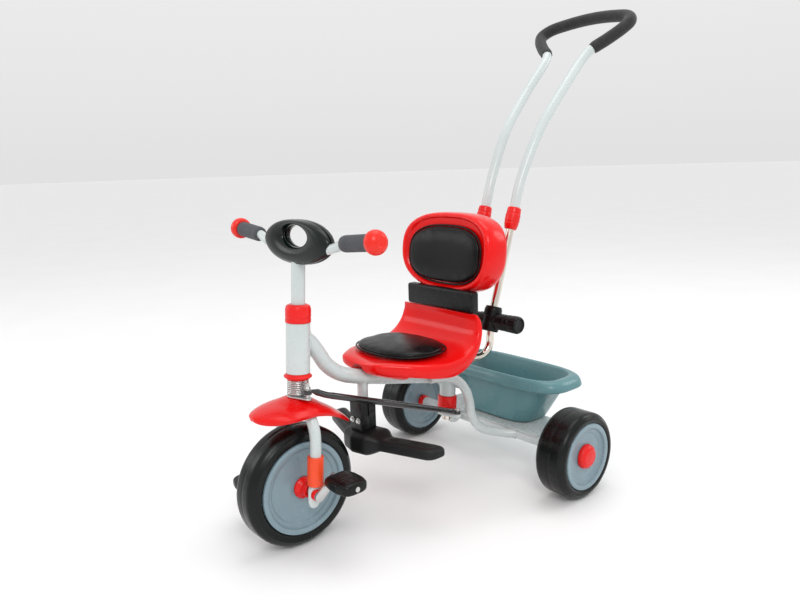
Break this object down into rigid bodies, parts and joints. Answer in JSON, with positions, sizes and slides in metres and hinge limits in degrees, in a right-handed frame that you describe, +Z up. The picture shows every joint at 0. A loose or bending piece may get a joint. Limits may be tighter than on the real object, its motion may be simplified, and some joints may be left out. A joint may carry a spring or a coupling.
{
  "type": "children's tricycle",
  "caption": "Children's tricycle with a red moulded seat and backrest, rear basket, pedal front wheel, footrest and a tall parent push handle linked to the steering.",
  "frame": {"origin": "middle of the bounding box, on the floor under the tyres", "axes": "+Z up, the tricycle drives towards -Y, +X is the left hand of a rider"},
  "size_m": [0.5462, 0.9858, 0.9803],
  "materials": {
    "grey_paint": "smooth semi-gloss light grey paint",
    "bright_steel": "zinc plated",
    "red_plastic": "glossy red",
    "orange_plastic": "satin orange-red",
    "black_plastic": "satin black",
    "black_paint": "gloss black paint",
    "pad_vinyl": "smooth glossy black vinyl",
    "basket_plastic": "semi-gloss slate blue",
    "grey_rubber": "matt dark grey",
    "black_foam": "matt black closed-cell foam",
    "tyre_black": "satin black moulded tyre",
    "disc_plastic": "semi-gloss blue-grey",
    "chrome_tube": "bright nickel chrome"
  },
  "bodies": {
    "frame": {"main_frame": "grey_paint", "rear_frame": "grey_paint", "rear_axle": "bright_steel", "head_cup_upper": "red_plastic", "post_cup_lower": "red_plastic", "post_cup_upper": "red_plastic", "footrest_clamp": "black_plastic", "footrest": "black_plastic", "footrest_bolt_left": "bright_steel", "footrest_bolt_right": "bright_steel", "seat_shell": "red_plastic", "seat_pad": "pad_vinyl", "backrest_shell": "red_plastic", "backrest_pad": "pad_vinyl", "backrest_bracket": "black_plastic", "basket": "basket_plastic", "axle_spacer_left": "red_plastic", "axle_spacer_right": "red_plastic"},
    "steering_bush": {"head_bush_lower": "red_plastic"},
    "fork_and_handlebar": {"fork": "grey_paint", "fork_sleeve_left": "orange_plastic", "fork_sleeve_right": "orange_plastic", "axle_bush_left": "red_plastic", "axle_bush_right": "red_plastic", "steering_arm": "bright_steel", "mudguard": "red_plastic", "suspension_spring": "bright_steel", "handlebar": "grey_paint", "handlebar_cover_front": "black_plastic", "handlebar_cover_back": "black_plastic", "grip_left": "grey_rubber", "grip_right": "grey_rubber", "grip_end_left": "red_plastic", "grip_end_right": "red_plastic"},
    "front_wheel": {"front_tyre": "tyre_black", "front_rim": "disc_plastic", "front_hub_left": "red_plastic", "front_hub_right": "red_plastic", "crank_axle": "bright_steel"},
    "pedal_left": {"pedal_left": "black_plastic"},
    "pedal_right": {"pedal_right": "black_plastic"},
    "rear_wheel_left": {"rear_tyre_left": "tyre_black", "rear_rim_left": "disc_plastic", "rear_hub_cap_left": "red_plastic"},
    "rear_wheel_right": {"rear_tyre_right": "tyre_black", "rear_rim_right": "disc_plastic", "rear_hub_cap_right": "red_plastic"},
    "push_frame": {"push_tube_lower": "chrome_tube", "steering_crank": "grey_paint", "push_yoke": "black_plastic", "push_collar_left": "red_plastic", "push_collar_right": "red_plastic", "rod_bolt": "bright_steel"},
    "yoke_knob": {"yoke_knob": "black_plastic"},
    "push_handle": {"push_tube_upper": "grey_paint", "push_grip": "black_foam"},
    "steering_rod": {"steering_rod": "black_paint"}
  },
  "joints": [
    {"name": "steer", "type": "hinge", "parent": "frame", "child": "steering_bush", "pos_m": [0, -0.36518, 0.34913], "axis": [0, 0.0706, 0.9975], "range_deg": [-30, 30]},
    {"name": "suspension", "type": "slide", "parent": "steering_bush", "child": "fork_and_handlebar", "axis": [0, 0.0706, 0.9975], "range_m": [0, 0.005], "stiffness_N_per_m": 6000, "springref_m": -0.012, "deforming": ["suspension_spring"]},
    {"name": "front_wheel_spin", "type": "hinge", "parent": "fork_and_handlebar", "child": "front_wheel", "pos_m": [0, -0.3851, 0.1078], "axis": [1, 0, 0], "continuous": true},
    {"name": "pedal_left_spin", "type": "hinge", "parent": "front_wheel", "child": "pedal_left", "pos_m": [0.09, -0.35446, 0.13351], "axis": [1, 0, 0], "continuous": true},
    {"name": "pedal_right_spin", "type": "hinge", "parent": "front_wheel", "child": "pedal_right", "pos_m": [-0.09, -0.41574, 0.08209], "axis": [1, 0, 0], "continuous": true},
    {"name": "rear_wheel_left_spin", "type": "hinge", "parent": "frame", "child": "rear_wheel_left", "pos_m": [0.233, 0.1089, 0.086], "axis": [1, 0, 0], "continuous": true},
    {"name": "rear_wheel_right_spin", "type": "hinge", "parent": "frame", "child": "rear_wheel_right", "pos_m": [-0.233, 0.1089, 0.086], "axis": [1, 0, 0], "continuous": true},
    {"name": "push_frame_turn", "type": "hinge", "parent": "frame", "child": "push_frame", "pos_m": [0, -0.00697, 0.1995], "axis": [0, 0.0706, 0.9975], "range_deg": [-30, 30]},
    {"name": "knob_turn", "type": "hinge", "parent": "push_frame", "child": "yoke_knob", "pos_m": [0.085, 0.0835, 0.328], "axis": [1, 0, 0], "range_deg": [0, 180]},
    {"name": "push_handle_lift", "type": "slide", "parent": "push_frame", "child": "push_handle", "axis": [0, 0.309, 0.9511], "range_m": [0, 0.04]},
    {"name": "rod_rear_pivot", "type": "hinge", "parent": "push_frame", "child": "steering_rod", "pos_m": [0.03, -0.01058, 0.14863], "axis": [0, 0.0706, 0.9975], "range_deg": [-30, 30]}
  ],
  "couplings": [
    {"joint": "push_frame_turn", "follows": "steer", "ratio": 1},
    {"joint": "rod_rear_pivot", "follows": "steer", "ratio": -1}
  ]
}
